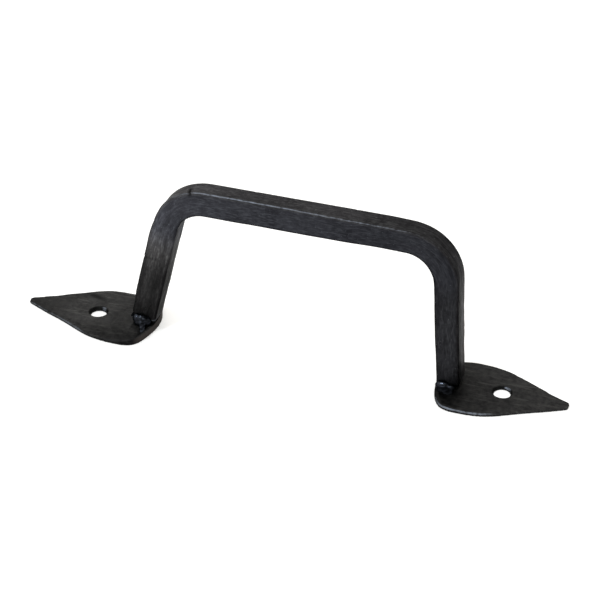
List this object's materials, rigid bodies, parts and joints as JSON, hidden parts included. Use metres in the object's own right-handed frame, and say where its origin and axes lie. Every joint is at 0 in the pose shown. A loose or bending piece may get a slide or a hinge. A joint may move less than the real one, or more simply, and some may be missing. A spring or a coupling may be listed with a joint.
{
  "type": "pull handle",
  "caption": "Forged pull handle: a bent square bar welded at both feet to leaf-shaped screw plates.",
  "frame": {"origin": "midway between the two screw holes, on the face that lies against the door", "axes": "+X from the left leaf to the right leaf, +Z out from the door towards the hand, +Y across the grip"},
  "size_m": [0.2401, 0.038, 0.072],
  "materials": {
    "black_iron": "waxed black forge finish, satin",
    "leaf_iron": "waxed black forge finish, satin",
    "weld_bead": "blackened weld metal, glossy"
  },
  "bodies": {
    "root": {"grip_bar": "black_iron", "left_leaf_plate": "leaf_iron", "right_leaf_plate": "leaf_iron", "left_front_weld": "weld_bead", "left_rear_weld": "weld_bead", "left_outer_weld": "weld_bead", "right_front_weld": "weld_bead", "right_rear_weld": "weld_bead"}
  },
  "joints": []
}
